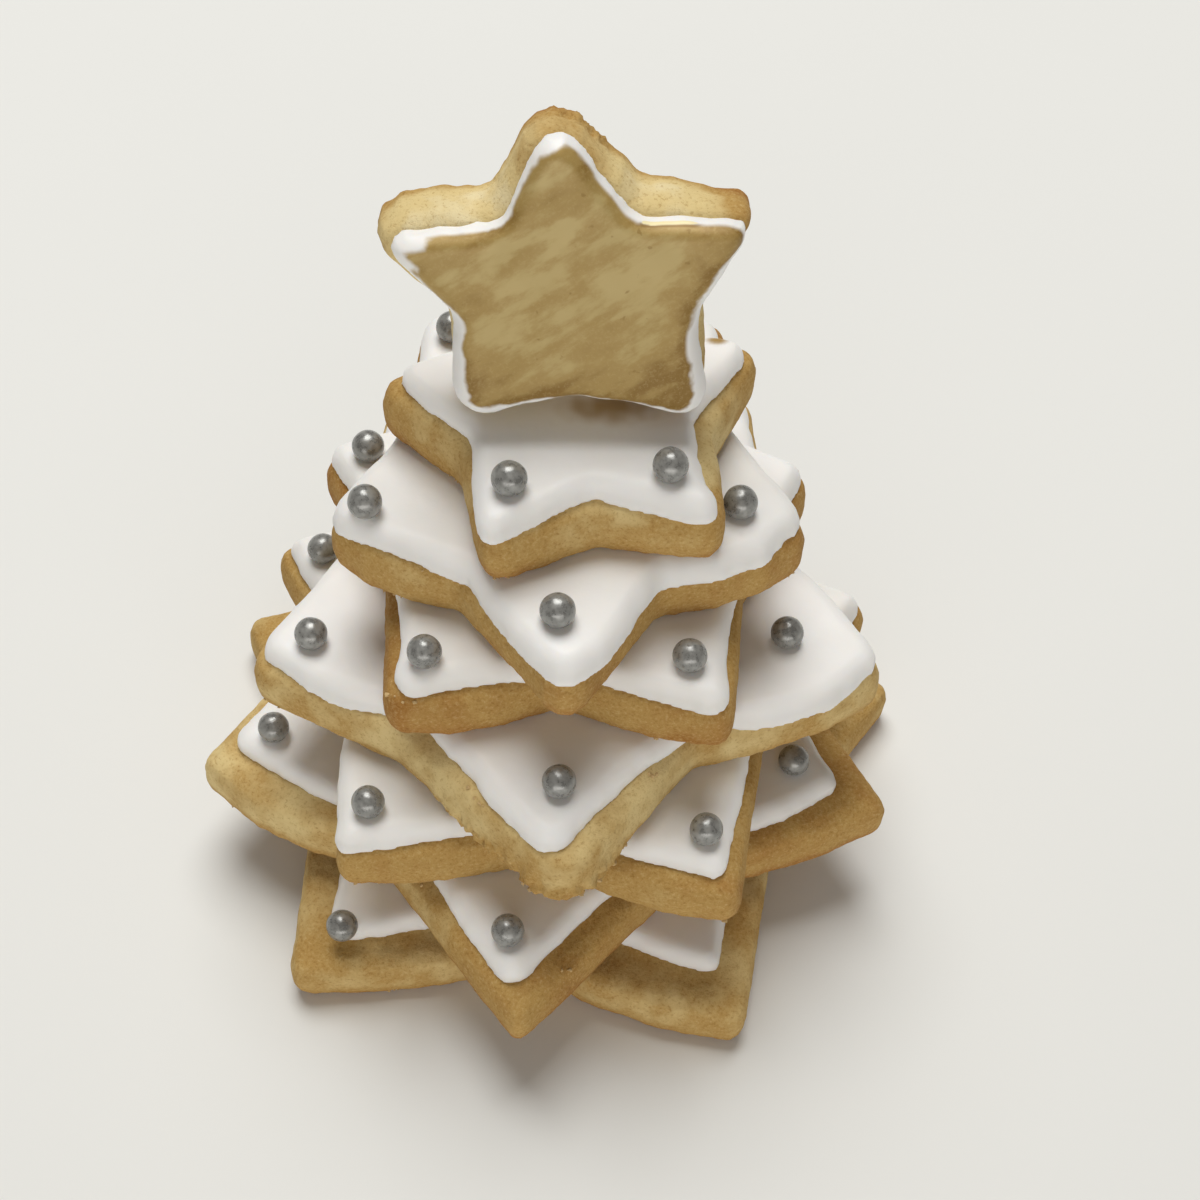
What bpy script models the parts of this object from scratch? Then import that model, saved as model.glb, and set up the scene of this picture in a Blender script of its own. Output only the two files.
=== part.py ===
"""Small tree of iced star cookies: seven stacked stars, silver dragees and a standing star on top.

Run with: blender --background --python part.py
Metres, +Z up, front towards -Y. The origin is the middle of the bottom cookie's underside.
"""
import math

import bmesh
import bpy
from mathutils import Matrix, Vector

MM = 0.001

COOKIE_THICK = 7.5 * MM
ICING_THICK = 2.5 * MM
REST_GAP = 0.3 * MM       # clearance between pieces that rest on each other
TIER_PITCH = COOKIE_THICK + ICING_THICK + 2 * REST_GAP
DRAGEE_RADIUS = 2.05 * MM
DRAGEE_SEAT = 1.2 * MM    # half-width of the patch of icing that a dragee bears on

# The standing star leans back and is set a little behind the middle of its tier.
STANDING_LEAN = math.radians(18)
STANDING_AT = (1.5 * MM, 10.6 * MM)

# Side profiles from the underside up: inset from the outline in mm, height as a share of the thickness.
COOKIE_PROFILE = ((0.6, 0.0), (0.0, 0.12), (0.0, 0.66), (0.6, 0.9), (2.0, 1.0))
ICING_PROFILE = ((0.0, 0.0), (0.1, 0.4), (0.6, 0.76), (1.6, 0.94), (3.2, 1.0))

TIP_STEPS = 3             # straight pieces round a star's tip
NOTCH_STEPS = 2           # straight pieces round the corner between two arms
NOTCH_ROUND = 3.0         # mm
SHARPEST = 0.3            # mm, the least rounding that an inset leaves on a tip
BULGE_SHARES = (0.35, 0.65)
BULGE_FULLNESS = 0.9      # how much of an edge's bulge there is at those shares

EVEN = (1.0, 1.0, 1.0, 1.0, 1.0)
STILL = (0.0, 0.0, 0.0, 0.0, 0.0)

# Lengths in mm, turns in degrees from the front towards +X. A star's first arm points at its turn and
# the others follow by 72. "arms" and "notches" are shares of the reach, the swings turn single tips and
# notches, and "soften" makes single tips blunter or sharper. "bulge" lists the edges that swelled or
# shrank while baking: the edge's number, from the first tip round, and how far its middle moved out.
TIERS = (
    {"at": (0.0, 0.0),
     "cookie": {"reach": 50.5, "turn": 29.6, "tip_round": 2.2, "bulge": {8: 0.8, 9: 1.6}},
     "icing": {"reach": 43.6, "turn": 30.6, "tip_round": 1.6, "arms": (0.985, 1.0, 1.0, 1.0, 1.0)},
     "dragees": ((None, 0), (0.78, 0), (0.76, 2), (0.78, 0), (0.83, 2.4))},
    {"at": (-1.1, 0.9),
     "cookie": {"reach": 49.4, "turn": -3.3, "tip_round": 1.6, "arms": (1.01, 1.0, 0.99, 1.0, 0.97),
                "bulge": {1: 1.2, 8: 2.1}},
     "icing": {"reach": 44.0, "turn": -4.6, "tip_round": 2.4, "arms": (1.05, 0.98, 0.98, 0.98, 0.98),
               "bulge": {1: 1.6, 8: 1.4}},
     "dragees": ((0.80, -2.7), (0.72, -1.8), (0.77, 0), (0.76, 2), (0.75, 0.5))},
    {"at": (1.5, -0.6),
     "cookie": {"reach": 42.7, "turn": 30.3, "tip_round": 2.2, "arms": (1.0, 1.0, 0.98, 1.04, 1.0),
                "bulge": {8: 0.8, 9: 1.6}},
     "icing": {"reach": 41.4, "turn": 29.6, "tip_round": 1.8, "arms": (0.955, 1.0, 0.98, 1.02, 1.01),
               "bulge": {7: 0.9}},
     "dragees": ((0.80, 0.2), (None, 0), (0.86, 0), (0.83, 1.2), (0.83, -0.9))},
    {"at": (1.6, 2.7),
     "cookie": {"reach": 43.2, "turn": 0.2, "tip_round": 3.0, "arms": (1.03, 1.0, 1.0, 0.98, 0.99),
                "soften": (1.6, 1.0, 1.0, 1.0, 1.0),
                "notches": (1.0, 1.0, 1.02, 1.03, 1.09), "notch_swing": (-2.5, 0.0, 0.0, 0.0, -6.0),
                "bulge": {1: 1.4}},
     "icing": {"reach": 41.8, "turn": 0.0, "tip_round": 3.0, "arms": (1.0, 1.02, 1.0, 0.99, 0.99),
               "arm_swing": (-2.4, 0.0, 0.0, 0.0, 0.0),
               "notches": (1.0, 1.0, 1.0, 1.0, 1.02), "notch_swing": (-1.5, 0.0, 0.0, 0.0, -3.0),
               "bulge": {0: -0.8, 1: 2.7, 8: 1.2}},
     "dragees": ((0.76, -1.5), (0.68, -3.5), (0.78, 2), (0.75, -2), (0.78, 2.2))},
    {"at": (1.5, 3.6),
     "cookie": {"reach": 35.2, "turn": 34.2, "tip_round": 2.4, "arms": (1.0, 0.94, 1.0, 0.97, 0.99),
                "bulge": {8: 1.2, 9: 0.6}},
     "icing": {"reach": 34.4, "turn": 34.0, "tip_round": 2.4, "arms": (1.0, 0.93, 0.98, 0.96, 0.97),
               "arm_swing": (-0.8, 0.0, 0.0, 0.0, 1.5), "bulge": {0: -0.7, 7: -0.9}},
     "dragees": ((0.77, -2.1), (None, 0), (0.77, 0), (0.76, 0.2), (0.80, 1.9))},
    {"at": (1.5, 3.7),
     "cookie": {"reach": 31.7, "turn": 0.0, "tip_round": 3.0, "arms": (1.065, 0.99, 1.09, 1.03, 0.98),
                "notches": (0.97, 1.0, 1.0, 1.0, 1.0), "notch_swing": (-4.0, 0.0, 0.0, 0.0, -1.5),
                "bulge": {1: 1.3, 8: 1.1}},
     "icing": {"reach": 31.2, "turn": 0.0, "tip_round": 3.0, "arms": (1.09, 0.97, 1.03, 1.01, 0.99),
               "notches": (0.99, 1.0, 1.0, 1.0, 1.0), "notch_swing": (-4.0, 0.0, 0.0, 0.0, 1.5),
               "bulge": {0: 0.8, 1: 2.2, 9: 0.6}},
     "dragees": ((0.78, -2.4), (0.69, -5.0), (0.79, 3.3), (0.77, 1.0), (0.80, 3.3))},
    {"at": (3.0, 3.8),
     "cookie": {"reach": 23.9, "turn": 44.6, "tip_round": 2.6, "arms": (1.0, 1.04, 1.0, 1.09, 0.99),
                "notches": (1.0, 1.0, 1.0, 0.98, 0.98), "notch_swing": (-1.5, 0.0, 0.0, -4.0, -1.5)},
     "icing": {"reach": 23.7, "turn": 43.0, "tip_round": 2.2, "arms": (1.02, 0.98, 0.98, 1.0, 1.05),
               "arm_swing": (-1.0, 0.0, 0.0, 0.0, 1.0), "notch": 0.59,
               "notches": (0.92, 1.0, 1.0, 1.0, 1.0), "notch_swing": (-1.0, 0.0, 0.0, -3.0, -1.5),
               "bulge": {0: -0.7}},
     "dragees": ((0.66, -6.0), (None, 0), (None, 0), (None, 0), (0.70, -1.5))},
)

# The standing star is laid out flat, iced side up, with the arm that will point upwards at the back.
STANDING_STAR = {
    "cookie": {"reach": 22.8, "turn": 184.5, "tip_round": 2.6, "notch": 0.64,
               "arms": (0.86, 1.09, 0.95, 1.0, 0.975), "arm_swing": (6.0, 0.0, -5.5, 2.0, -1.3),
               "soften": (1.2, 0.9, 1.3, 1.2, 0.7), "bulge": {1: 0.5, 2: 0.4, 9: 0.5},
               "notches": (0.79, 0.97, 1.0, 1.02, 0.77), "notch_swing": (6.0, -5.0, -1.0, 3.0, -8.0)},
    "icing": {"reach": 21.7, "turn": 184.5, "tip_round": 2.4, "notch": 0.64,
              "arms": (0.90, 1.03, 0.99, 1.06, 1.005), "arm_swing": (2.0, 0.0, -6.0, 2.0, -1.3),
              "soften": (1.1, 0.8, 1.5, 1.2, 0.7),
              "notches": (0.74, 0.97, 0.99, 1.02, 0.74), "notch_swing": (6.0, -5.0, -1.0, 3.0, -11.0)},
}

COLOURS = {
    "cookie": ((0.56, 0.36, 0.16), 0.85, 0.0),
    "icing": ((0.82, 0.80, 0.77), 0.45, 0.0),
    "gold_icing": ((0.42, 0.29, 0.12), 0.5, 0.0),
    "dragee": ((0.38, 0.38, 0.39), 0.3, 0.8),
}


def clear_scene():
    for obj in list(bpy.data.objects):
        bpy.data.objects.remove(obj, do_unlink=True)


def make_material(name):
    colour, roughness, metallic = COLOURS[name]
    material = bpy.data.materials.new(name)
    material.use_nodes = True
    shader = material.node_tree.nodes["Principled BSDF"]
    shader.inputs["Base Color"].default_value = (*colour, 1.0)
    shader.inputs["Roughness"].default_value = roughness
    shader.inputs["Metallic"].default_value = metallic
    return material


def heading(turn, distance):
    """A point at a distance from the middle, turned in degrees from the front (-Y) towards +X."""
    angle = math.radians(turn)
    return Vector((distance * math.sin(angle), -distance * math.cos(angle)))


def star_corners(reach, turn, notch=0.665, arms=EVEN, arm_swing=STILL,
                 notches=EVEN, notch_swing=STILL, **finish):
    """The ten sharp corners of a star, tip and notch in turn, counter-clockwise from above."""
    corners = []
    for number in range(5):
        arm_turn = turn + 72 * number
        corners.append(heading(arm_turn + arm_swing[number], reach * arms[number]))
        corners.append(heading(arm_turn + 36 + notch_swing[number], reach * notch * notches[number]))
    return corners


def inset_corners(corners, inset):
    """The corners of the outline moved inwards by one inset along every edge."""
    moved = []
    for index, corner in enumerate(corners):
        before = (corner - corners[index - 1]).normalized()
        after = (corners[(index + 1) % len(corners)] - corner).normalized()
        inward = Vector((-before.y - after.y, before.x + after.x)).normalized()
        moved.append(corner + inward * (inset / inward.dot(Vector((-after.y, after.x)))))
    return moved


def round_corner(before, corner, after, radius, steps):
    """Points along the arc that rounds off one corner."""
    to_before = (before - corner).normalized()
    to_after = (after - corner).normalized()
    half = to_before.angle(to_after) / 2
    centre = corner + (to_before + to_after).normalized() * (radius / math.sin(half))
    start = corner + to_before * (radius / math.tan(half)) - centre
    sweep = start.angle_signed(corner + to_after * (radius / math.tan(half)) - centre)
    return [centre + Matrix.Rotation(-sweep * step / steps, 2) @ start for step in range(steps + 1)]


def swollen_edge(corner, following, bulge):
    """Two points along an edge that curve it outwards, or inwards for a bulge below zero."""
    along = following - corner
    outward = Vector((along.y, -along.x)).normalized()
    return [corner + along * share + outward * (bulge * BULGE_FULLNESS) for share in BULGE_SHARES]


def star_outline(star, inset):
    """A star's rounded outline in mm, moved inwards by an inset."""
    corners = inset_corners(star_corners(**star), inset)
    points = []
    for index, corner in enumerate(corners):
        if index % 2 == 0:
            steps = TIP_STEPS
            radius = max(star["tip_round"] * star.get("soften", EVEN)[index // 2] - inset, SHARPEST)
        else:
            steps = NOTCH_STEPS
            radius = NOTCH_ROUND + inset
        following = corners[(index + 1) % len(corners)]
        points += round_corner(corners[index - 1], corner, following, radius, steps)
        if index in star.get("bulge", {}):
            points += swollen_edge(corner, following, star["bulge"][index])
    return points


def star_rings(star, profile, thickness):
    """The outline at each level of a side profile, in metres."""
    rings = []
    for inset, share in profile:
        outline = star_outline(star, inset)
        rings.append([(point.x * MM, point.y * MM, thickness * share) for point in outline])
    return rings


def raise_rings(name, rings):
    """A closed mesh that starts as a flat face and is extruded from one ring to the next."""
    bm = bmesh.new()
    top = bm.faces.new([bm.verts.new(spot) for spot in rings[0]])
    for level, ring in enumerate(rings[1:]):
        grown = bmesh.ops.extrude_face_region(bm, geom=[top])["geom"]
        if level > 0:
            bmesh.ops.delete(bm, geom=[top], context="FACES_ONLY")
        top = next(part for part in grown if isinstance(part, bmesh.types.BMFace))
        for vert, spot in zip(top.verts, ring):
            vert.co = spot
    bmesh.ops.recalc_face_normals(bm, faces=bm.faces)
    mesh = bpy.data.meshes.new(name)
    bm.to_mesh(mesh)
    bm.free()
    return mesh


def smooth(mesh):
    mesh.shade_smooth()
    mesh.set_sharp_from_angle(angle=math.radians(40))


def add_object(name, mesh, material, collection, location):
    mesh.materials.clear()
    mesh.materials.append(material)
    obj = bpy.data.objects.new(name, mesh)
    obj.location = location
    collection.objects.link(obj)
    return obj


def add_star(name, star, profile, thickness, material, collection, location):
    mesh = raise_rings(name, star_rings(star, profile, thickness))
    smooth(mesh)
    return add_object(name, mesh, material, collection, location)


def edge_distance(corners, point):
    """How far a point lies inside the nearest edge of an outline."""
    distances = []
    for index, corner in enumerate(corners):
        along = corners[(index + 1) % len(corners)] - corner
        share = min(max((point - corner).dot(along) / along.length_squared, 0.0), 1.0)
        distances.append((corner + along * share - point).length)
    return min(distances)


def icing_height(icing, point):
    """Height of the domed icing over its own underside at a point in mm."""
    distance = edge_distance(star_corners(**icing), point)
    height = ICING_THICK
    for (low_inset, low), (high_inset, high) in zip(ICING_PROFILE, ICING_PROFILE[1:]):
        if low_inset <= distance < high_inset:
            climb = (distance - low_inset) / (high_inset - low_inset)
            height = ICING_THICK * (low + (high - low) * climb)
    return height


def dragee_mesh():
    bm = bmesh.new()
    bmesh.ops.create_icosphere(bm, subdivisions=2, radius=DRAGEE_RADIUS)
    mesh = bpy.data.meshes.new("dragee")
    bm.to_mesh(mesh)
    bm.free()
    mesh.shade_smooth()
    return mesh


def add_dragees(number, tier, icing_base, mesh, material, collection):
    """One silver ball near the tip of each arm that carries one."""
    cookie = tier["cookie"]
    for arm, (share, swing) in enumerate(tier["dragees"]):
        if share is None:
            continue
        spot = heading(cookie["turn"] + 72 * arm + swing, cookie["reach"] * share)
        inner = spot * (1 - DRAGEE_SEAT / MM / spot.length)
        seat = icing_base.z + icing_height(tier["icing"], inner)
        place = icing_base + Vector((spot.x * MM, spot.y * MM, 0))
        place.z = seat + REST_GAP + DRAGEE_RADIUS
        add_object(f"dragee_{number}_{arm + 1}", mesh, material, collection, place)


def add_tier(number, tier, materials, ball, collection):
    """One flat star cookie with its icing and its dragees. Returns the height of its icing's top."""
    cookie_base = Vector((tier["at"][0] * MM, tier["at"][1] * MM, (number - 1) * TIER_PITCH))
    icing_base = cookie_base + Vector((0, 0, COOKIE_THICK + REST_GAP))
    add_star(f"cookie_{number}", tier["cookie"], COOKIE_PROFILE, COOKIE_THICK,
             materials["cookie"], collection, cookie_base)
    add_star(f"icing_{number}", tier["icing"], ICING_PROFILE, ICING_THICK,
             materials["icing"], collection, icing_base)
    add_dragees(number, tier, icing_base, ball, materials["dragee"], collection)
    return icing_base.z + ICING_THICK


def add_standing_star(floor, materials, collection):
    """The star on top: laid out flat under an empty, which then stands it up and leans it back."""
    holder = bpy.data.objects.new("standing_star", None)
    collection.objects.link(holder)
    cookie = add_star("cookie_top", STANDING_STAR["cookie"], COOKIE_PROFILE, COOKIE_THICK,
                      materials["cookie"], collection, (0, 0, 0))
    icing = add_star("icing_top", STANDING_STAR["icing"], ICING_PROFILE, ICING_THICK,
                     materials["gold_icing"], collection, (0, 0, COOKIE_THICK + REST_GAP))
    cookie.parent = holder
    icing.parent = holder
    upright = Matrix.Rotation(math.pi / 2 - STANDING_LEAN, 3, "X")
    lowest = min((upright @ (vert.co + part.location)).z for part in (cookie, icing)
                 for vert in part.data.vertices)
    holder.rotation_euler = upright.to_euler()
    holder.location = (*STANDING_AT, floor + REST_GAP - lowest)


def main():
    clear_scene()
    collection = bpy.data.collections.new("star_cookie_tree")
    bpy.context.scene.collection.children.link(collection)
    materials = {name: make_material(name) for name in COLOURS}
    ball = dragee_mesh()
    top = 0.0
    for number, tier in enumerate(TIERS, start=1):
        top = add_tier(number, tier, materials, ball, collection)
    add_standing_star(top, materials, collection)


main()
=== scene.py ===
import math
import random

import bmesh
import bpy
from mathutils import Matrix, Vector, noise
from mathutils.bvhtree import BVHTree


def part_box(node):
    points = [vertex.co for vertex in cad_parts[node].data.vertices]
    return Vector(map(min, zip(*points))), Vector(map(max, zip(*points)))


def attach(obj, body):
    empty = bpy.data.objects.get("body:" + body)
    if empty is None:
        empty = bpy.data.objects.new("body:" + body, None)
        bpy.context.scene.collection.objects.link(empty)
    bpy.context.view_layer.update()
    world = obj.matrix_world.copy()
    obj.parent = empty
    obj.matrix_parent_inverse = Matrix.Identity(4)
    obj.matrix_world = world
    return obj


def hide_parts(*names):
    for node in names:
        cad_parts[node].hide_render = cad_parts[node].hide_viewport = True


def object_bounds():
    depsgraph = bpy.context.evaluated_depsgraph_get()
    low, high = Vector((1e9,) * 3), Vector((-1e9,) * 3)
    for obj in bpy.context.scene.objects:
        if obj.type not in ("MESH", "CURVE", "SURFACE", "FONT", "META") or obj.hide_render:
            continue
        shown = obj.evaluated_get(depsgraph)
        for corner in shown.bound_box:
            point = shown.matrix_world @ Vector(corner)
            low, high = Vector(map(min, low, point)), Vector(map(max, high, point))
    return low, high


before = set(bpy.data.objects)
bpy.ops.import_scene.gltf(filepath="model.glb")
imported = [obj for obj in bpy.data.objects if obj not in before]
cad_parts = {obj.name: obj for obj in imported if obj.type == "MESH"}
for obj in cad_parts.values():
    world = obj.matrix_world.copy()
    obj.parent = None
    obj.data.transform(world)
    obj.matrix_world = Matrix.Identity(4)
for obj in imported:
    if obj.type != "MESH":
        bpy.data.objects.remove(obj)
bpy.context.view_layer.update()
mm = 0.001
scene = bpy.context.scene


def ramp(value, start, end):
    # 0 up to start, 1 from end on, smooth between
    share = min(max((value - start) / (end - start), 0.0), 1.0)
    return share * share * (3 - 2 * share)


def waver(spot, form):
    # form is how far it goes in and out and how wide it is, both in mm
    far, width = form
    return far * noise.noise(spot / width)


def addPiece(name, bm, material):
    mesh = bpy.data.meshes.new(name)
    bm.to_mesh(mesh)
    bm.free()
    mesh.shade_smooth()
    mesh.materials.append(material)
    piece = bpy.data.objects.new(name, mesh)
    scene.collection.objects.link(piece)
    return piece


def put(tree, kind, inputs=None, **settings):
    node = tree.nodes.new(kind)
    for key, value in settings.items():
        setattr(node, key, value)
    for name, value in (inputs or {}).items():
        if isinstance(value, bpy.types.NodeSocket):
            tree.links.new(value, node.inputs[name])
        else:
            node.inputs[name].default_value = value
    return node


def newMaterial(name):
    material = bpy.data.materials.new(name)
    material.use_nodes = True
    tree = material.node_tree
    return material, tree, tree.nodes["Principled BSDF"]


def objectCoords(tree):
    return put(tree, "ShaderNodeTexCoord").outputs["Object"]


def splitCoords(tree, coords):
    return put(tree, "ShaderNodeSeparateXYZ", {"Vector": coords}).outputs


def measured(tree, name):
    return put(tree, "ShaderNodeAttribute", attribute_name=name).outputs["Fac"]


def grain(tree, coords, size, detail=3.0, roughness=0.5):
    # size is the width of a feature in mm
    inputs = {"Vector": coords, "Scale": 1 / (size * mm), "Detail": detail, "Roughness": roughness}
    return put(tree, "ShaderNodeTexNoise", inputs).outputs["Fac"]


def smoothStep(tree, value, start, end, low=0.0, high=1.0):
    inputs = {"Value": value, "From Min": start, "From Max": end, "To Min": low, "To Max": high}
    return put(tree, "ShaderNodeMapRange", inputs, interpolation_type="SMOOTHSTEP").outputs["Result"]


def calculate(tree, operation, first, second):
    return put(tree, "ShaderNodeMath", {0: first, 1: second}, operation=operation).outputs[0]


def addAll(tree, total, *others):
    for value in others:
        total = calculate(tree, "ADD", total, value)
    return total


def mixColour(tree, factor, first, second, blend="MIX"):
    inputs = {0: factor, 6: first, 7: second}
    return put(tree, "ShaderNodeMix", inputs, data_type="RGBA", blend_type=blend).outputs[2]


def toneColour(tree, tone, tones):
    # each colour takes over from the one before it on the way up to its own tone
    (start, colour), *others = tones
    for end, following in others:
        colour = mixColour(tree, smoothStep(tree, tone, start, end), colour, following)
        start = end
    return colour


def bump(tree, height, depth, strength=1.0, normal=None):
    inputs = {"Height": height, "Distance": depth * mm, "Strength": strength}
    if normal:
        inputs["Normal"] = normal
    return put(tree, "ShaderNodeBump", inputs).outputs["Normal"]


# in the looks below, grain is a pattern's width in mm, its detail and its roughness, range is where a
# change starts and ends and the values before and after it, and bump is a depth in mm and a strength
def mottle(tree, coords, look):
    return smoothStep(tree, grain(tree, coords, *look["grain"]), *look["range"])


def roughen(tree, coords, look, normal=None):
    return bump(tree, grain(tree, coords, *look["grain"]), *look["bump"], normal)


dough = {
    "tones": ((-0.35, (0.81, 0.70, 0.43, 1)),       # cream
              (0.0, (0.73, 0.575, 0.275, 1)),       # pale
              (0.55, (0.49, 0.305, 0.096, 1)),      # golden
              (1.15, (0.38, 0.185, 0.045, 1))),     # brown
    "tips": (0.60, 1.0),       # share of the way out where the points darken
    "foot": (0.5, 0.0),        # share of the height where the lower edge darkens
    "side": 30 * mm,           # where the tones of the left and the right are reached
    "patches": {"grain": (9, 2.0), "range": (0.3, 0.72, -0.12, 0.16)},
    "blotches": {"grain": (3, 3.0), "range": (0.3, 0.72, -0.10, 0.12)},
    "sand": (0.45, 4.0, 0.75),
    "crumbs": {"colour": (0.72, 0.55, 0.27, 1), "range": (0.49, 0.74, 0.0, 0.45)},
    "pits": {"colour": (0.66, 0.54, 0.40, 1), "range": (0.49, 0.30, 0.0, 0.75)},
    "sandBump": (0.22, 0.75),
    "lumps": {"grain": (2.2, 3.0), "bump": (0.3, 0.5)},
    "roughness": 0.85,
    "specular": 0.2,
}


def cookieMaterial(name, look):
    material, tree, shader = newMaterial(name)
    coords = objectCoords(tree)
    place = splitCoords(tree, coords)
    # baked darker towards the tips and the lower edge
    baked = addAll(tree,
                   smoothStep(tree, measured(tree, "tip"), *dough["tips"], 0.0, look["tips"]),
                   smoothStep(tree, measured(tree, "height"), *dough["foot"], 0.0, look["foot"]),
                   mottle(tree, coords, dough["patches"]),
                   mottle(tree, coords, dough["blotches"]),
                   smoothStep(tree, place["X"], -dough["side"], dough["side"], look["bake"], look["right"]))
    if "darker" in look:
        axis, start, end, amount = look["darker"]
        darker = smoothStep(tree, place[axis], start * mm, end * mm, 0.0, amount)
        baked = calculate(tree, "ADD", baked, darker)
    colour = toneColour(tree, baked, dough["tones"])
    sand = grain(tree, coords, *dough["sand"])
    for grains, blend in ((dough["crumbs"], "MIX"), (dough["pits"], "MULTIPLY")):
        colour = mixColour(tree, smoothStep(tree, sand, *grains["range"]), colour, grains["colour"], blend)
    tree.links.new(colour, shader.inputs["Base Color"])
    shader.inputs["Roughness"].default_value = dough["roughness"]
    shader.inputs["Specular IOR Level"].default_value = dough["specular"]
    lumps = roughen(tree, coords, dough["lumps"])
    tree.links.new(bump(tree, sand, *dough["sandBump"], lumps), shader.inputs["Normal"])
    return material


icingLook = {
    "white": (0.84, 0.83, 0.808, 1),
    "cloudWhite": (0.865, 0.86, 0.85, 1),
    # brown of the painted shade at the foot of the standing star, and of a bare place where the cookie shows
    "shadeAndBareTint": (0.37, 0.235, 0.075, 1),
    "clouds": {"grain": (14, 2.0), "range": (0.3, 0.7)},
    "gloss": {"grain": (4, 3.0), "range": (0.3, 0.7, 0.42, 0.56)},
    "specular": 0.35,
    "scatter": 0.25,
    "scatterColour": (1.0, 0.8, 0.6),
    "scatterDepth": 1.2 * mm,
    "waves": {"grain": (5, 2.0), "bump": (0.25, 0.5)},
    "pores": {"grain": (0.8, 3.0), "bump": (0.03, 0.5)},
}


def icingMaterial(name):
    material, tree, shader = newMaterial(name)
    coords = objectCoords(tree)
    clouds = mottle(tree, coords, icingLook["clouds"])
    colour = mixColour(tree, clouds, icingLook["white"], icingLook["cloudWhite"])
    # painted shade at the foot of the standing star and a bare place, both in brown
    colour = mixColour(tree, measured(tree, "shadeAndBareTint"), colour, icingLook["shadeAndBareTint"])
    tree.links.new(colour, shader.inputs["Base Color"])
    tree.links.new(mottle(tree, coords, icingLook["gloss"]), shader.inputs["Roughness"])
    shader.inputs["Specular IOR Level"].default_value = icingLook["specular"]
    shader.inputs["Subsurface Weight"].default_value = icingLook["scatter"]
    shader.inputs["Subsurface Radius"].default_value = icingLook["scatterColour"]
    shader.inputs["Subsurface Scale"].default_value = icingLook["scatterDepth"]
    waves = roughen(tree, coords, icingLook["waves"])
    tree.links.new(roughen(tree, coords, icingLook["pores"], waves), shader.inputs["Normal"])
    return material, tree, shader, colour


goldPaint = {
    "light": (0.52, 0.40, 0.170, 1),
    "mid": (0.41, 0.28, 0.092, 1),
    "dark": (0.265, 0.155, 0.034, 1),
    # colour of the painted highlight along the raised edge of the paint
    "paintedHighlight": (0.86, 0.76, 0.45, 1),
    "tones": (("light", 0.0), ("mid", 0.6), ("dark", 1.3)),
    # how much white icing shows inside the edge, in mm, by the turn from the star's foot to its right
    "rim": ((-180, 0.5), (-172, 1.3), (-165, 0.6), (-145, 0.2), (-115, 0.2), (-107, 1.2), (-102, 1.6),
            (-96, 0.9), (-85, 0.6), (-72, 1.1), (-55, 1.1), (-42, 1.5), (-30, 1.4), (-12, 0.8), (0, 0.7),
            (20, 0.8), (42, 1.3), (55, 1.3), (80, 1.0), (90, 1.0), (104, 0.9), (109, 0.2), (120, 0.0),
            (170, 0.0), (180, 0.5)),
    "wander": {"grain": (3.2, 3.0), "range": (0.3, 0.7, -0.3, 0.3)},    # mm, the painted border in and out
    "border": (-0.25, 0.35),          # mm, over which the paint starts
    "side": (0.5, 0.7),               # share of the height where the paint starts
    "strokeTurn": math.radians(35),   # strokes rise to the right
    "strokeLength": 3.4,              # times their width
    "broad": {"grain": (3.6, 2.0), "range": (0.28, 0.72, -0.26, 0.28)},
    "strokes": {"grain": (1.6, 4.0, 0.65), "range": (0.3, 0.7, -0.2, 0.24)},
    "patches": {"grain": (5, 3.0), "range": (0.3, 0.72, -0.14, 0.24)},
    # darker on the points, near the rim, at the foot and at the right
    "tipTone": (0.35, 0.9, 0.2, 0.45),
    "rimTone": (1.6, 0.2, 0.0, 0.3),
    "footTone": (88 * mm, 79 * mm, 0.0, 0.45),
    "rightTone": (10 * mm, 16 * mm, 0.0, 0.5),
    "specks": {"grain": (1.3, 2.0), "range": (0.70, 0.76, 0.0, 0.55)},
    "dust": {"grain": (0.4, 3.0, 0.7), "range": (0.48, 0.7, 0.0, 0.3)},
    "metallic": 0.12,
    # a painted highlight, a bright line along the raised edge of the paint, with a line of painted shade
    # beside it
    "highlightTurns": (119, 123, 137, 141),    # degrees: starts, full, fades, ends
    "highlightInset": (0.25, 0.68),            # mm
    "highlightHeight": (0.4, 0.55),            # share of the height
    "shadeBesideHighlight": (0.05, 0.4),
    "highlightBright": (0.5, 0.8),
}


def rimWidth(turn):
    for (before, narrow), (after, wide) in zip(goldPaint["rim"], goldPaint["rim"][1:]):
        if before <= turn <= after:
            return narrow + (wide - narrow) * ramp(turn, before, after)
    return 0.0


def paintedArea(bm, layers, star):
    # how far each point lies inside the painted border in mm, and where the painted highlight line lies
    painted = bm.verts.layers.float.new("painted")
    paintedHighlight = bm.verts.layers.float.new("paintedHighlight")
    starts, full, fades, ends = goldPaint["highlightTurns"]
    for vert in bm.verts:
        turn = turnOf(vert, star)
        inset = vert[layers["inset"]]
        vert[painted] = inset - rimWidth(turn)
        along = ramp(turn, starts, full) * (1 - ramp(turn, fades, ends))
        across = 1 - ramp(inset, *goldPaint["highlightInset"])
        vert[paintedHighlight] = along * across * ramp(vert[layers["height"]], *goldPaint["highlightHeight"])


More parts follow.
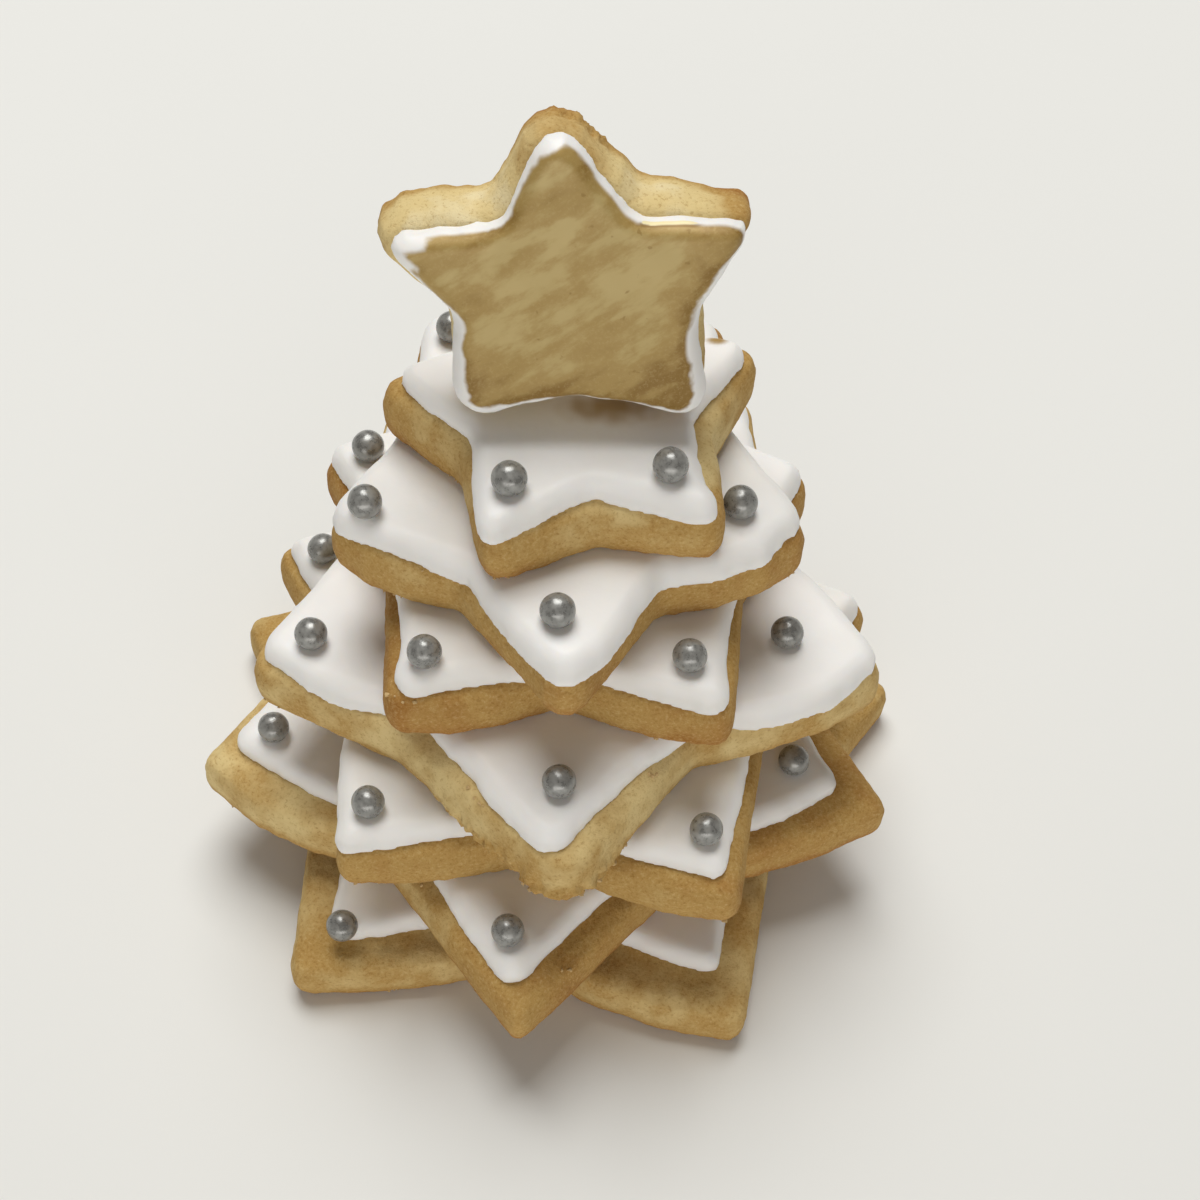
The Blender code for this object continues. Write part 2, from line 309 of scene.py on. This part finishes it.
def goldMaterial(name):
    material, tree, shader, white = icingMaterial(name)
    coords = objectCoords(tree)
    place = splitCoords(tree, coords)
    inside = calculate(tree, "ADD", measured(tree, "painted"), mottle(tree, coords, goldPaint["wander"]))
    onTop = smoothStep(tree, measured(tree, "height"), *goldPaint["side"])
    painted = calculate(tree, "MULTIPLY", smoothStep(tree, inside, *goldPaint["border"]), onTop)
    brushed = put(tree, "ShaderNodeMapping",
                  {"Vector": coords, "Rotation": (0, -goldPaint["strokeTurn"], 0),
                   "Scale": (goldPaint["strokeLength"], 1.0, 1.0)}, vector_type="TEXTURE").outputs[0]
    tone = addAll(tree,
                  mottle(tree, brushed, goldPaint["broad"]),
                  mottle(tree, brushed, goldPaint["strokes"]),
                  mottle(tree, coords, goldPaint["patches"]),
                  smoothStep(tree, measured(tree, "tip"), *goldPaint["tipTone"]),
                  smoothStep(tree, inside, *goldPaint["rimTone"]),
                  smoothStep(tree, place["Z"], *goldPaint["footTone"]),
                  smoothStep(tree, place["X"], *goldPaint["rightTone"]))
    colour = toneColour(tree, tone, [(level, goldPaint[shade]) for shade, level in goldPaint["tones"]])
    colour = mixColour(tree, mottle(tree, coords, goldPaint["specks"]), colour, goldPaint["dark"])
    colour = mixColour(tree, mottle(tree, coords, goldPaint["dust"]), colour, goldPaint["light"])
    colour = mixColour(tree, painted, white, colour)
    # painted shade beside the highlight line, then the painted highlight on it
    paintedHighlight = measured(tree, "paintedHighlight")
    shaded = calculate(tree, "MULTIPLY", smoothStep(tree, paintedHighlight, *goldPaint["shadeBesideHighlight"]), painted)
    colour = mixColour(tree, shaded, colour, goldPaint["dark"])
    colour = mixColour(tree, smoothStep(tree, paintedHighlight, *goldPaint["highlightBright"]), colour, goldPaint["paintedHighlight"])
    tree.links.new(colour, shader.inputs["Base Color"])
    tree.links.new(calculate(tree, "MULTIPLY", painted, goldPaint["metallic"]), shader.inputs["Metallic"])
    return material


def cadCopy(node):
    bm = bmesh.new()
    bm.from_mesh(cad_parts[node].data)
    bmesh.ops.remove_doubles(bm, verts=bm.verts, dist=0.001 * mm)
    bmesh.ops.recalc_face_normals(bm, faces=bm.faces)
    return bm


survey = {
    "icedWay": Vector((0, -0.4, 1)),   # iced faces look up or to the front
    "wallTilt": 0.3,                   # faces that lean less than this from upright are walls
    "topShare": 0.93,                  # share of the height from which a face is the top
    "underShare": 0.07,                # and up to which it is the underside
}


def surveyStar(bm):
    # the way the iced face looks, the levels of the two faces, and the upright walls
    up = max(bm.faces, key=lambda face: face.calc_area()).normal.copy()
    if up.dot(survey["icedWay"]) < 0:
        up.negate()
    levels = [up.dot(vert.co) for vert in bm.verts]
    walls = bm.copy()
    flat = [face for face in walls.faces if abs(face.normal.dot(up)) > survey["wallTilt"]]
    bmesh.ops.delete(walls, geom=flat, context="FACES")
    wallLevel = sum(up.dot(face.calc_center_median()) for face in walls.faces) / len(walls.faces)
    middle = sum((vert.co for vert in walls.verts), Vector()) / len(walls.verts)
    middle += up * (wallLevel - up.dot(middle))
    reach = max((vert.co + up * (wallLevel - up.dot(vert.co)) - middle).length for vert in walls.verts)
    star = {"up": up, "low": min(levels), "high": max(levels), "wallLevel": wallLevel,
            "middle": middle, "reach": reach, "walls": BVHTree.FromBMesh(walls)}
    walls.free()
    return star


def smoothVerts(bm, verts, rounds):
    for _ in range(rounds):
        bmesh.ops.smooth_vert(bm, verts=verts, factor=0.5, use_axis_x=True, use_axis_y=True, use_axis_z=True)


def refine(bm, cell, rounds):
    # even small faces all over, edges slightly softened
    mesh = bpy.data.meshes.new("rough")
    bm.to_mesh(mesh)
    bm.free()
    rough = bpy.data.objects.new("rough", mesh)
    scene.collection.objects.link(rough)
    remesh = rough.modifiers.new("cells", "REMESH")
    remesh.mode = "VOXEL"
    remesh.voxel_size = cell
    finished = rough.evaluated_get(bpy.context.evaluated_depsgraph_get())
    fine = bmesh.new()
    fine.from_mesh(finished.to_mesh())
    finished.to_mesh_clear()
    bpy.data.objects.remove(rough)
    bpy.data.meshes.remove(mesh)
    smoothVerts(fine, fine.verts, rounds)
    fine.normal_update()
    return fine


def measure(bm, star):
    # inset in mm from the outline, height and reach as shares, and the way out across the outline
    layers = {name: bm.verts.layers.float.new(name) for name in ("inset", "height", "tip")}
    outward = bm.verts.layers.float_vector.new("outward")
    up = star["up"]
    for vert in bm.verts:
        level = up.dot(vert.co)
        flat = vert.co + up * (star["wallLevel"] - level)
        near, normal, _, distance = star["walls"].find_nearest(flat)
        inside = (flat - near).dot(normal) <= 0
        vert[layers["inset"]] = distance / mm if inside else 0.0
        vert[layers["height"]] = (level - star["low"]) / (star["high"] - star["low"])
        vert[layers["tip"]] = (flat - star["middle"]).length / star["reach"]
        away = near - flat if inside else flat - near
        vert[outward] = away.normalized() if away.length > 0.0001 * mm else normal
    layers["outward"] = outward
    return layers


def turnOf(vert, star):
    # degrees from the front of a flat star, or the foot of the standing one, to the right
    side = Vector((1, 0, 0))
    back = star["up"].cross(side)
    arm = vert.co - star["middle"]
    return math.degrees(math.atan2(arm.dot(side), -arm.dot(back)))


def spotDepth(vert, star, spots):
    # mm, full near each spot's turn and fading over its spread
    depth = 0.0
    for spot in spots:
        away = abs((turnOf(vert, star) - spot["turn"] + 180) % 360 - 180)
        depth += spot["depth"] * (1 - ramp(away, spot["spread"] * 0.5, spot["spread"]))
    return depth


def thinOut(bm, layers, topInset, underInset):
    # one plain face on the top and one below, from that far inside the edge, where nothing shows
    for isTop, keep in ((True, topInset), (False, underInset)):
        plain = []
        for face in bm.faces:
            height = face.verts[0][layers["height"]]
            onFace = height > survey["topShare"] if isTop else height < survey["underShare"]
            if onFace and all(vert[layers["inset"]] > keep for vert in face.verts):
                plain.append(face)
        if plain:
            bmesh.ops.dissolve_faces(bm, faces=plain, use_verts=True)


cookieGrain = {
    "cell": 0.42 * mm,
    "rounds": 3,
    # how far in and out and how wide, in mm
    "swell": (0.24, 10),
    "lump": (0.11, 3.5),
    "crumb": (0.09, 1.2),
    "footCrumb": 1.2,             # how much more the crumb stands out at the lower edge
    "footHeight": 0.22,           # share of the height
    "fade": 2.0,                  # mm, over which the unevenness ends at the rim
    "tuck": 0.4,                  # mm, how far the lower edge draws in
    "tuckHeight": 0.4,            # share of the height
    "tuckInset": 3.0,             # mm
    "tornTeeth": ((1.0, 1.2), (0.7, 0.6)),
    "tornOut": 0.5,               # share of its depth that a torn edge stands out
    "tornInset": (2.5, 1.0),      # mm
    "tornHeight": (0.25, 0.6),    # share of the height
    "tornTuck": 0.5,              # mm of torn edge that leave no tuck
    "widerInset": (1.5, 4.0),     # mm
    "widerTop": 0.6,              # how much less the iced face is widened
    "gap": 0.34 * mm,             # how far a cookie's underside comes down to the icing it lies on
    "plainUnder": 2.5,            # mm inside the edge
    "seedSteps": (31.7, 17.3, 7.9),
}

# bake and right are the tone at the left and the right, and tips and foot are added towards the tips and
# the lower edge; darker adds to the tone along an axis, between two places in mm. The surface is uneven up
# to rim, in mm inside the edge. A ragged or wider place has its turn and spread in degrees, its depth in mm.
cookieLooks = {
    "cookie_1": {"bake": 0.33, "right": 0.36, "tips": 0.15, "foot": 0.62, "rim": 8.0, "ragged": []},
    "cookie_2": {"bake": 0.20, "right": 0.72, "tips": 0.00, "foot": 0.70, "rim": 8.0, "ragged": [],
                 "darker": ("Y", -26, -44, 0.3)},
    "cookie_3": {"bake": 0.46, "right": 0.56, "tips": 0.15, "foot": 0.25, "rim": 4.5, "ragged": []},
    "cookie_4": {"bake": 0.17, "right": 0.22, "tips": 0.15, "foot": 0.30, "rim": 4.5,
                 "ragged": [{"turn": -11, "spread": 26, "depth": 0.6}]},
    "cookie_5": {"bake": 0.80, "right": 0.62, "tips": 0.25, "foot": 0.35, "rim": 4.5, "ragged": []},
    "cookie_6": {"bake": 0.44, "right": 0.60, "tips": 0.35, "foot": 0.25, "rim": 4.5, "ragged": []},
    "cookie_7": {"bake": 0.25, "right": 0.12, "tips": 0.50, "foot": 0.50, "rim": 4.5, "ragged": []},
    "cookie_top": {"bake": -0.22, "right": -0.12, "tips": 0.80, "foot": 0.85, "rim": 4.5,
                   "darker": ("Z", 100, 108, 0.55),
                   "ragged": [{"turn": 168, "spread": 18, "depth": 0.5}],
                   "wider": [{"turn": 133, "spread": 22, "depth": 0.85},
                             {"turn": -128, "spread": 30, "depth": 0.25}]},
}


def crustDepth(spot, inset, height, torn):
    # mm out from the smooth side
    foot = 1 - ramp(height, 0.0, cookieGrain["footHeight"])
    depth = waver(spot, cookieGrain["swell"]) + waver(spot, cookieGrain["lump"])
    depth += (1 + cookieGrain["footCrumb"] * foot) * waver(spot, cookieGrain["crumb"])
    if torn > 0:
        teeth = cookieGrain["tornOut"] + sum(waver(spot, form) for form in cookieGrain["tornTeeth"])
        lower = 1 - ramp(height, *cookieGrain["tornHeight"])
        depth += torn * teeth * ramp(inset, *cookieGrain["tornInset"]) * lower
    return depth


def shapeRim(vert, layers, star, look, seed):
    inset = vert[layers["inset"]]
    height = vert[layers["height"]]
    torn = spotDepth(vert, star, look["ragged"])
    depth = crustDepth(vert.co / mm + seed, inset, height, torn)
    fade = 1 - ramp(inset, look["rim"] - cookieGrain["fade"], look["rim"])
    vert.co += vert.normal * depth * mm * fade
    if "wider" in look:
        wider = spotDepth(vert, star, look["wider"]) * (1 - cookieGrain["widerTop"] * height)
        wider *= 1 - ramp(inset, *cookieGrain["widerInset"])
        vert.co += vert[layers["outward"]] * wider * mm
    else:
        tuck = cookieGrain["tuck"] * (1 - ramp(height, 0.0, cookieGrain["tuckHeight"]))
        tuck *= 1 - ramp(inset, 0.0, cookieGrain["tuckInset"])
        tuck *= 1 - min(torn / cookieGrain["tornTuck"], 1.0)
        vert.co -= vert[layers["outward"]] * tuck * mm


def makeCookie(number, name, look):
    bm = cadCopy(name)
    star = surveyStar(bm)
    bm = refine(bm, cookieGrain["cell"], cookieGrain["rounds"])
    layers = measure(bm, star)
    up = star["up"]
    seed = Vector([number * step for step in cookieGrain["seedSteps"]])
    drop = 0.0 if name in ("cookie_1", "cookie_top") else cookieGrain["gap"]
    for vert in bm.verts:
        if vert[layers["inset"]] < look["rim"]:
            shapeRim(vert, layers, star, look, seed)
        vert.co -= up * drop * (1 - ramp(vert[layers["height"]], 0.0, 1.0))
        under = star["low"] - drop - up.dot(vert.co)
        if under > 0:    # nothing hangs below the flat underside
            vert.co += up * under
    thinOut(bm, layers, look["rim"], cookieGrain["plainUnder"])
    bm.normal_update()
    crust = BVHTree.FromBMesh(bm)
    piece = addPiece(name + "_baked", bm, cookieMaterial(name + "_dough", look))
    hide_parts(name)
    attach(piece, "root")
    return crust, star


icingForm = {
    "cell": 0.40 * mm,
    "rounds": 4,
    "border": (0.3, 3.2),         # mm inside the edge, over which the border's unevenness ends
    # how far in and out and how wide, in mm
    "wobble": (0.55, 9),
    "wave": (0.22, 3.5),
    "nick": (0.12, 1.5),
    "dent": (0.05, 5),            # on the top
    "dentHeight": (0.5, 1.0),     # share of the height
    "round": 1.9,                 # mm, radius of the rounded border
    "roundFacing": (0.1, 0.5),    # how far a face looks up before the rounding lifts it
    "settled": 8,                 # rounds of smoothing over the top
    "settledHeight": 0.6,         # share of the height
    "sink": 0.10 * mm,            # how far the border sinks into the cookie
    "deepest": 1.3 * mm,          # how far it comes down where the cookie lies low
    "search": 8 * mm,             # how far down the cookie is looked for
    "plainUnder": 1.5,            # mm inside the edge
    "seedSteps": (23.1, 41.9, 11.3),
}


def seatLevel(co, star, crust):
    # where the border settles on to the cookie
    up = star["up"]
    above = co + up * (star["high"] + mm - up.dot(co))
    hit = crust.ray_cast(above, -up, icingForm["search"])[0]
    lowest = star["low"] - icingForm["deepest"]
    seat = max(up.dot(hit) - icingForm["sink"], lowest) if hit else lowest
    return min(seat, star["low"])


# painted shade at the foot of the standing star, brown where the cookie above throws its colour into the
# shadow on the icing, and a bare place where the cookie shows through; at and half are in mm, and core is
# the share of the half width that is fully coloured
shadeAndBarePlaces = {
    "icing_7": ({"at": (6.0, 1.7), "half": (7.0, 3.2), "core": 0.1, "strength": 0.85},
                {"at": (19.0, 12.8), "half": (1.5, 1.0), "core": 0.4, "strength": 1.0}),
}
shadeAndBareBorder = {"uneven": (0.25, 1.5), "end": 1.1}


def addShadeAndBarePlaces(bm, spots):
    # how strongly each point takes the brown, for the painted shade and for the bare place
    shadeAndBareTint = bm.verts.layers.float.new("shadeAndBareTint")
    for vert in bm.verts:
        uneven = waver(vert.co / mm, shadeAndBareBorder["uneven"])
        for spot in spots:
            (x, y), (wide, deep) = spot["at"], spot["half"]
            away = Vector(((vert.co.x / mm - x) / wide, (vert.co.y / mm - y) / deep)).length
            share = spot["strength"] * (1 - ramp(away + uneven, spot["core"], shadeAndBareBorder["end"]))
            vert[shadeAndBareTint] = max(vert[shadeAndBareTint], share)


def makeIcing(number, name, material, crust, painted=False):
    bm = cadCopy(name)
    star = surveyStar(bm)
    bm = refine(bm, icingForm["cell"], icingForm["rounds"])
    layers = measure(bm, star)
    if painted:
        paintedArea(bm, layers, star)
    if name in shadeAndBarePlaces:
        addShadeAndBarePlaces(bm, shadeAndBarePlaces[name])
    seed = Vector([number * step for step in icingForm["seedSteps"]])
    up = star["up"]
    thick = star["high"] - star["low"]
    for vert in bm.verts:
        spot = vert.co / mm + seed
        inset = vert[layers["inset"]]
        height = vert[layers["height"]]
        border = 1 - ramp(inset, *icingForm["border"])
        wander = sum(waver(spot, icingForm[form]) for form in ("wobble", "wave", "nick"))
        vert.co += vert[layers["outward"]] * wander * border * mm
        # a quarter round up to the top
        across = 1 - min(inset / icingForm["round"], 1.0)
        lift = max(math.sqrt(1 - across * across) - height, 0.0)
        vert.co += up * lift * ramp(vert.normal.dot(up), *icingForm["roundFacing"]) * thick
        vert.co += up * waver(spot, icingForm["dent"]) * mm * ramp(height, *icingForm["dentHeight"])
        lower = seatLevel(vert.co, star, crust) - star["low"]
        vert.co += up * lower * (1 - min(max(height, 0.0), 1.0))
    top = [vert for vert in bm.verts if vert[layers["height"]] > icingForm["settledHeight"]]
    smoothVerts(bm, top, icingForm["settled"])
    thinOut(bm, layers, math.inf, icingForm["plainUnder"])
    bm.normal_update()
    piece = addPiece(name + "_set", bm, material)
    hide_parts(name)
    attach(piece, "root")
    return piece


whiteIcing = icingMaterial("white_icing")[0]
cookieShapes = {}
for number, (name, look) in enumerate(cookieLooks.items(), start=1):
    crust, star = makeCookie(number, name, look)
    cookieShapes[name] = {"crust": crust, "star": star}
    icingName = name.replace("cookie", "icing")
    if name == "cookie_top":
        iced = makeIcing(number, icingName, goldMaterial("gold_on_icing"), crust, painted=True)
    else:
        iced = makeIcing(number, icingName, whiteIcing, crust)
    print("made", name, "and", icingName)


# crumbs that cling to the cookies: cookie, turn from the front, height as a share, how many, width in mm
crumbForm = {
    "spots": (
        ("cookie_7", -14, 1.0, 2, 0.45), ("cookie_7", -26, 0.03, 3, 0.35), ("cookie_7", -72, 0.1, 3, 0.4),
        ("cookie_7", 30, 0.95, 2, 0.35), ("cookie_6", -60, 0.08, 3, 0.4), ("cookie_6", -52, 0.9, 2, 0.4),
        ("cookie_6", 74, 0.05, 2, 0.4), ("cookie_5", -40, 0.92, 4, 0.45), ("cookie_5", 26, 0.05, 2, 0.4),
        ("cookie_4", 3, 0.02, 7, 0.6), ("cookie_4", 8, 0.05, 4, 0.5), ("cookie_4", -8, 0.05, 3, 0.45),
        ("cookie_4", 18, 0.97, 5, 0.45), ("cookie_4", -22, 0.95, 5, 0.45), ("cookie_4", -70, 0.1, 2, 0.4),
        ("cookie_3", -40, 0.05, 3, 0.4), ("cookie_3", 33, 0.03, 4, 0.45), ("cookie_2", -30, 0.96, 4, 0.45),
        ("cookie_2", 5, 0.94, 3, 0.4), ("cookie_2", -74, 0.05, 2, 0.4), ("cookie_1", -34, 0.1, 3, 0.4),
        ("cookie_1", 32, 0.06, 3, 0.4)),
    "turnSpread": 3.5,                 # degrees
    "heightSpread": 0.03,              # share of the cookie's height
    "widths": (0.5, 1.2),              # times the width
    "stretch": (0.6, 1.2),             # times the width, along each axis
    "lower": 0.1 * mm,                 # how far below that height
    "sunk": 0.35,                      # share of a crumb's width
    "uneven": 0.35,                    # share of a crumb's width
    "lumps": ((1.0, 2.5), (0.5, 6)),   # how much, and how many across a crumb
    "from": 80 * mm,                   # how far out the search for the surface starts
    "colour": (0.58, 0.41, 0.19, 1),
    "roughness": 0.85,
}


def addCrumb(bm, name, turn, share, width, rng):
    star = cookieShapes[name]["star"]
    angle = math.radians(turn)
    away = Vector((math.sin(angle), -math.cos(angle), 0))
    level = star["low"] + share * (star["high"] - star["low"]) - crumbForm["lower"]
    start = Vector((star["middle"].x, star["middle"].y, level)) + away * crumbForm["from"]
    hit, normal, _, _ = cookieShapes[name]["crust"].ray_cast(start, -away)
    if hit is None:
        return
    size = width * mm
    middle = hit + normal * size * (0.5 - crumbForm["sunk"])
    stretch = Vector([rng.uniform(*crumbForm["stretch"]) for _ in range(3)])
    seed = Vector([rng.uniform(0, 90) for _ in range(3)])
    for vert in bmesh.ops.create_icosphere(bm, subdivisions=3, radius=size / 2)["verts"]:
        lumps = sum(much * noise.noise(vert.co / size * many + seed) for much, many in crumbForm["lumps"])
        vert.co += vert.co.normalized() * crumbForm["uneven"] * size * lumps
        vert.co = vert.co * stretch + middle


def makeCrumbs():
    bm = bmesh.new()
    rng = random.Random(11)
    rise = crumbForm["heightSpread"]
    for name, turn, share, count, width in crumbForm["spots"]:
        for _ in range(count):
            beside = turn + rng.uniform(-1, 1) * crumbForm["turnSpread"]
            height = share + rng.uniform(-rise, rise)
            addCrumb(bm, name, beside, height, width * rng.uniform(*crumbForm["widths"]), rng)
    material, _, shader = newMaterial("crumb")
    shader.inputs["Base Color"].default_value = crumbForm["colour"]
    shader.inputs["Roughness"].default_value = crumbForm["roughness"]
    crumbs = addPiece("loose_crumbs", bm, material)
    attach(crumbs, "root")
    print("made the crumbs")


makeCrumbs()


dragees = {
    "sunk": 0.75 * mm,        # includes the gap under the solid
    "uneven": (0.05, 1.5),    # how far in and out and how wide, in mm
    "dark": (0.21, 0.21, 0.20, 1),
    "light": (0.35, 0.35, 0.335, 1),
    "mottle": (0.9, 4.0, 0.65),
    "tone": (0.35, 0.68),
    "roughness": (0.3, 0.7, 0.24, 0.38),
    "metallic": 0.4,
    "dents": {"grain": (0.6, 3.0), "bump": (0.05, 0.6)},
}


def drageeMaterial():
    material, tree, shader = newMaterial("dragee")
    coords = objectCoords(tree)
    silver = grain(tree, coords, *dragees["mottle"])
    colour = mixColour(tree, smoothStep(tree, silver, *dragees["tone"]), dragees["dark"], dragees["light"])
    tree.links.new(colour, shader.inputs["Base Color"])
    shader.inputs["Metallic"].default_value = dragees["metallic"]
    tree.links.new(smoothStep(tree, silver, *dragees["roughness"]), shader.inputs["Roughness"])
    tree.links.new(roughen(tree, coords, dragees["dents"]), shader.inputs["Normal"])
    return material


def makeDragees():
    names = sorted(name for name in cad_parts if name.startswith("dragee"))
    bm = bmesh.new()
    for name in names:
        low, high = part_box(name)
        middle = (low + high) / 2
        ball = bmesh.ops.create_icosphere(bm, subdivisions=4, radius=(high.z - low.z) / 2)["verts"]
        for vert in ball:
            vert.co += vert.co.normalized() * waver((vert.co + middle) / mm, dragees["uneven"]) * mm
            vert.co += middle - Vector((0, 0, dragees["sunk"]))
    piece = addPiece("dragees_silver", bm, drageeMaterial())
    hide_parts(*names)
    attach(piece, "root")
    print("made", len(names), "dragees")


makeDragees()


stage = {
    "floor": (0.81, 0.815, 0.795, 1),
    "floorCloud": (0.80, 0.805, 0.785, 1),
    "floorGrain": (60, 2.0),
    "floorRoughness": 0.6,
    "floorSpecular": 0.1,
    "floorHalf": 3.0,
    "floorGap": 0.05 * mm,
    "sky": (1.0, 0.92, 0.82, 1),
    "skyStrength": 0.19,
    "aim": (0, 0, 0.04),
    "lights": {
        "key": {"at": (-0.05, 0.40, 1.05), "size": (0.75, 0.75), "watts": 10.7, "colour": (1.0, 1.0, 0.985)},
        "fill": {"at": (0.0, -1.0, 0.24), "size": (1.6, 0.36), "watts": 4.6, "colour": (1.0, 0.98, 0.95)},
    },
}


def makeFloor():
    bm = bmesh.new()
    bmesh.ops.create_grid(bm, x_segments=1, y_segments=1, size=stage["floorHalf"])
    material, tree, shader = newMaterial("floor")
    clouds = grain(tree, objectCoords(tree), *stage["floorGrain"])
    tint = mixColour(tree, clouds, stage["floor"], stage["floorCloud"])
    tree.links.new(tint, shader.inputs["Base Color"])
    shader.inputs["Roughness"].default_value = stage["floorRoughness"]
    shader.inputs["Specular IOR Level"].default_value = stage["floorSpecular"]
    floor = addPiece("floor", bm, material)
    floor.location.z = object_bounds()[0][2] - stage["floorGap"]


def makeLights():
    world = bpy.data.worlds.new("sky")
    world.use_nodes = True
    background = world.node_tree.nodes["Background"]
    background.inputs["Color"].default_value = stage["sky"]
    background.inputs["Strength"].default_value = stage["skyStrength"]
    scene.world = world
    for name, look in stage["lights"].items():
        light = bpy.data.lights.new(name, "AREA")
        light.shape = "ELLIPSE"
        light.size, light.size_y = look["size"]
        light.energy = look["watts"]
        light.color = look["colour"]
        lamp = bpy.data.objects.new(name, light)
        lamp.location = look["at"]
        lamp.rotation_euler = (Vector(stage["aim"]) - lamp.location).to_track_quat("-Z", "Y").to_euler()
        scene.collection.objects.link(lamp)


cameraAt = {
    "location": (0.00085, -0.155785, 0.242980),
    "rotation": (0.653230, -0.023105, -0.001607),
    "lens": 60.0,
    "sensor": 36.0,
    "nearest": 0.01,
}


def makeCamera():
    data = bpy.data.cameras.new("camera")
    data.lens = cameraAt["lens"]
    data.sensor_width = cameraAt["sensor"]
    data.clip_start = cameraAt["nearest"]
    camera = bpy.data.objects.new("camera", data)
    camera.location = cameraAt["location"]
    camera.rotation_euler = cameraAt["rotation"]
    scene.collection.objects.link(camera)
    scene.camera = camera


makeFloor()
makeLights()
makeCamera()
scene.view_settings.view_transform = "Standard"
print("set up the floor, the lights and the camera")

print("scene ready")
